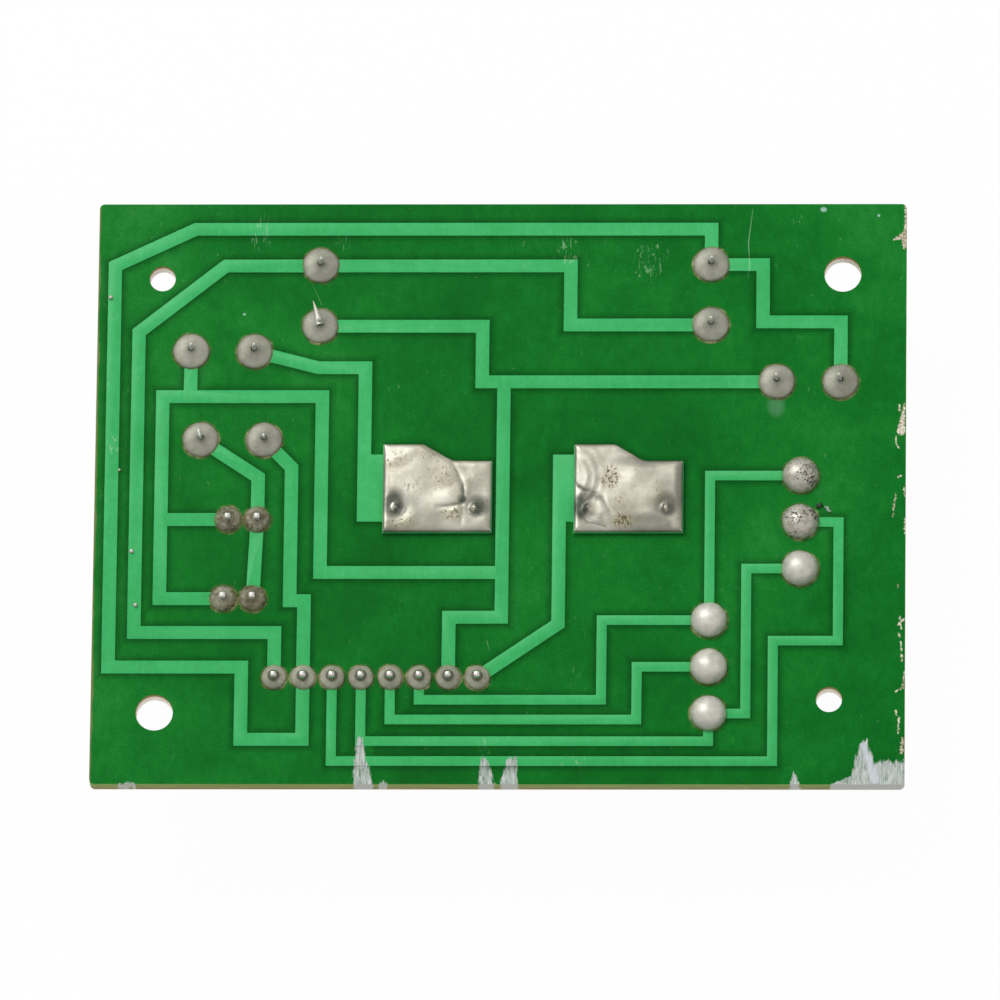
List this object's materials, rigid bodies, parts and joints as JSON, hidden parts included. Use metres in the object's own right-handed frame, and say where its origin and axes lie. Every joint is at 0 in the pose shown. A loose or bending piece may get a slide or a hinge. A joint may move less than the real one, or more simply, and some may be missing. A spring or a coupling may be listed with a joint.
{
  "type": "scooter console circuit board",
  "caption": "Used single-sided circuit board with green lacquered tracks, soldered joints on its upper face and headers, lamps, capacitors and a clipped fuse hanging below.",
  "frame": {"origin": "middle of the board's component face", "axes": "+X along the board's length, +Y across it, +Z from the component face towards the solder side"},
  "size_m": [0.07, 0.0524, 0.0152],
  "materials": {
    "board": "green solder-resist lacquer on a brown laminate, satin and scuffed",
    "track": "copper foil under green lacquer, satin",
    "solder": "tin-lead solder, bright to dull",
    "tinned_wire": "tinned copper wire",
    "pin": "tinned brass",
    "housing": "natural white nylon",
    "lens": "red tinted clear resin",
    "resistor": "tan lacquer",
    "film_box": "red moulded box",
    "can": "dark shrink sleeve",
    "bung": "black rubber",
    "disc": "dipped epoxy coating",
    "clip": "tinned spring brass",
    "fuse_cap": "nickel plate",
    "fuse_glass": "clear glass",
    "fuse_wire": "bare wire"
  },
  "bodies": {
    "root": {"board": "board", "sense_track": "track", "supply_track": "track", "upper_wiper_track": "track", "low_side_track": "track", "lower_wiper_track": "track", "high_side_track": "track", "ground_track": "track", "fuse_feed_track": "track", "fuse_out_track": "track", "lamp_feed_track": "track", "main_header_solder": "solder", "upper_lamp_solder": "solder", "lower_lamp_solder": "solder", "right_film_capacitor_solder": "solder", "left_film_capacitor_solder": "solder", "feed_resistor_solder": "solder", "electrolytic_solder": "solder", "suppressor_solder": "solder", "upper_header_solder": "solder", "lower_header_solder": "solder", "fuse_out_solder": "solder", "fuse_feed_solder": "solder", "main_header_pins": "pin", "upper_header_pins": "pin", "lower_header_pins": "pin", "upper_lamp_leads": "tinned_wire", "lower_lamp_leads": "tinned_wire", "right_film_capacitor_leads": "tinned_wire", "left_film_capacitor_leads": "tinned_wire", "feed_resistor_leads": "tinned_wire", "electrolytic_leads": "tinned_wire", "suppressor_leads": "tinned_wire", "main_header_housing": "housing", "upper_header_housing": "housing", "lower_header_housing": "housing", "upper_lamp_lens": "lens", "lower_lamp_lens": "lens", "feed_resistor_body": "resistor", "right_film_capacitor_box": "film_box", "left_film_capacitor_box": "film_box", "electrolytic_can": "can", "electrolytic_bung": "bung", "suppressor_disc": "disc", "fuse_tube": "fuse_glass", "fuse_wire": "fuse_wire", "fuse_out_cap": "fuse_cap", "fuse_feed_cap": "fuse_cap", "fuse_out_clip": "clip", "fuse_feed_clip": "clip"}
  },
  "joints": []
}
